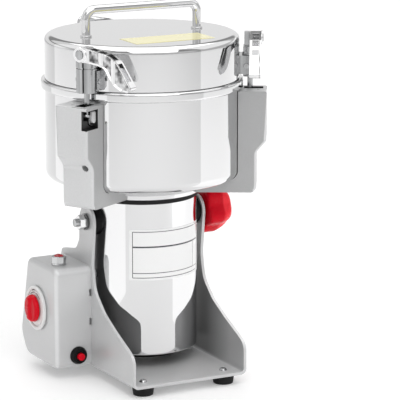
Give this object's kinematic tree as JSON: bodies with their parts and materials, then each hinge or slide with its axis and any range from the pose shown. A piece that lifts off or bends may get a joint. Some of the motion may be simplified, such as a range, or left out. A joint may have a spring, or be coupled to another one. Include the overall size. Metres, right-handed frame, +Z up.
{
  "type": "electric spice grinder",
  "caption": "Tilting high-speed spice grinder: polished bowl with latched lid on a cast yoke over an upright motor, pivoted in a bent-plate stand with a control box.",
  "frame": {"origin": "on the table plane, under the middle of the whole outline", "axes": "+Z up, -Y to the front that the bowl tips towards, +X towards the clamp knob, -X towards the control box"},
  "size_m": [0.228, 0.234, 0.3665],
  "materials": {
    "silver_paint": "satin silver-grey stoved paint with a fine metallic grain",
    "cast_alloy": "cast, painted satin silver-grey",
    "polished_steel": "mirror-polished stainless steel",
    "bright_cast": "tumbled and plated casting, bright with soft hollows",
    "plated_steel": "zinc-plated, semi-bright",
    "ground_steel": "ground",
    "black_rubber": "matt black",
    "clear_silicone": "milky silicone",
    "black_plastic": "moulded, fine texture",
    "red_plastic": "gloss red, moulded",
    "red_lens": "red pilot-lamp lens",
    "white_plastic": "satin white dial plate",
    "white_foil": "white foil label with rule lines only",
    "yellow_foil": "pale yellow foil, blank",
    "core_iron": "varnished laminations",
    "copper": "turned copper",
    "brass": "plain",
    "carbon": "pressed carbon"
  },
  "bodies": {
    "stand": {"stand": "silver_paint", "rubber_feet": "black_rubber", "foot_screws": "plated_steel", "control_box": "silver_paint", "box_screws": "plated_steel", "timer_dial": "white_plastic", "timer_body": "black_plastic", "breaker_body": "black_plastic", "breaker_ring_nut": "black_plastic", "lamp_bezel": "plated_steel", "lamp_lens": "red_lens", "inlet_socket": "black_plastic", "inlet_pins": "brass", "pivot_bolt": "plated_steel", "pivot_nut": "plated_steel", "pivot_washers": "black_plastic"},
    "head": {"trunnion_bosses": "cast_alloy", "motor_shell": "polished_steel", "motor_cap": "black_plastic", "cap_screws": "plated_steel", "stator": "core_iron", "upper_bearing": "ground_steel", "lower_bearing": "ground_steel", "brush_holders": "brass", "carbon_brushes": "carbon", "motor_gasket": "black_rubber", "motor_flange": "polished_steel", "motor_label": "white_foil", "yoke": "cast_alloy", "yoke_screws": "plated_steel", "bowl": "polished_steel", "shaft_seal": "black_rubber"},
    "rotor": {"armature_core": "core_iron", "commutator": "copper", "motor_shaft": "ground_steel", "cooling_fan": "black_plastic", "lower_blade": "ground_steel", "upper_blade": "ground_steel", "blade_spacers": "ground_steel", "blade_nut": "ground_steel"},
    "cover": {"lid": "polished_steel", "lid_seal": "clear_silicone", "lid_handle": "polished_steel", "lid_sticker": "yellow_foil", "lid_lugs": "bright_cast", "lug_rivets": "plated_steel"},
    "clamp": {"clamp_knob": "red_plastic", "clamp_stud": "plated_steel"},
    "timer": {"timer_knob": "red_plastic", "timer_shaft": "plated_steel"},
    "reset": {"reset_button": "red_plastic"},
    "latch_left": {"latch_rod_left": "plated_steel", "latch_pin_left": "plated_steel"},
    "lever_left": {"latch_lever_left": "bright_cast"},
    "latch_right": {"latch_rod_right": "plated_steel", "latch_pin_right": "plated_steel"},
    "lever_right": {"latch_lever_right": "bright_cast"},
    "latch_rear": {"latch_rod_rear": "plated_steel", "latch_pin_rear": "plated_steel"},
    "lever_rear": {"latch_lever_rear": "bright_cast"}
  },
  "joints": [
    {"name": "head_tilt", "type": "hinge", "parent": "stand", "child": "head", "pos_m": [0, -0.00453, 0.1547], "axis": [1, 0, 0], "range_deg": [0, 90]},
    {"name": "rotor_spin", "type": "hinge", "parent": "head", "child": "rotor", "pos_m": [0, -0.00453, 0.11], "axis": [0, 0, 1], "continuous": true},
    {"name": "lid_lift", "type": "slide", "parent": "head", "child": "cover", "axis": [0, 0, 1], "range_m": [0, 0.08]},
    {"name": "clamp_turn", "type": "hinge", "parent": "head", "child": "clamp", "pos_m": [0.0615, -0.00453, 0.1547], "axis": [1, 0, 0], "range_deg": [0, 360]},
    {"name": "timer_turn", "type": "hinge", "parent": "stand", "child": "timer", "pos_m": [-0.1, 0.02797, 0.0655], "axis": [1, 0, 0], "range_deg": [0, 300]},
    {"name": "reset_press", "type": "slide", "parent": "stand", "child": "reset", "axis": [0, 1, 0], "range_m": [0, 0.0025], "stiffness_N_per_m": 400},
    {"name": "rod_left_swing", "type": "hinge", "parent": "head", "child": "latch_left", "pos_m": [-0.08743, -0.06309, 0.268], "axis": [0.5, -0.866, 0], "range_deg": [0, 25]},
    {"name": "lever_left_turn", "type": "hinge", "parent": "latch_left", "child": "lever_left", "pos_m": [-0.08743, -0.06309, 0.331], "axis": [-0.866, -0.5, 0], "range_deg": [0, 120]},
    {"name": "rod_right_swing", "type": "hinge", "parent": "head", "child": "latch_right", "pos_m": [0.09443, -0.05096, 0.268], "axis": [0.5, 0.866, 0], "range_deg": [0, 25]},
    {"name": "lever_right_turn", "type": "hinge", "parent": "latch_right", "child": "lever_right", "pos_m": [0.09443, -0.05096, 0.331], "axis": [-0.866, 0.5, 0], "range_deg": [0, 120]},
    {"name": "rod_rear_swing", "type": "hinge", "parent": "head", "child": "latch_rear", "pos_m": [-0.007, 0.10047, 0.268], "axis": [-1, 0, 0], "range_deg": [0, 25]},
    {"name": "lever_rear_turn", "type": "hinge", "parent": "latch_rear", "child": "lever_rear", "pos_m": [-0.007, 0.10047, 0.331], "axis": [0, -1, 0], "range_deg": [0, 120]}
  ]
}
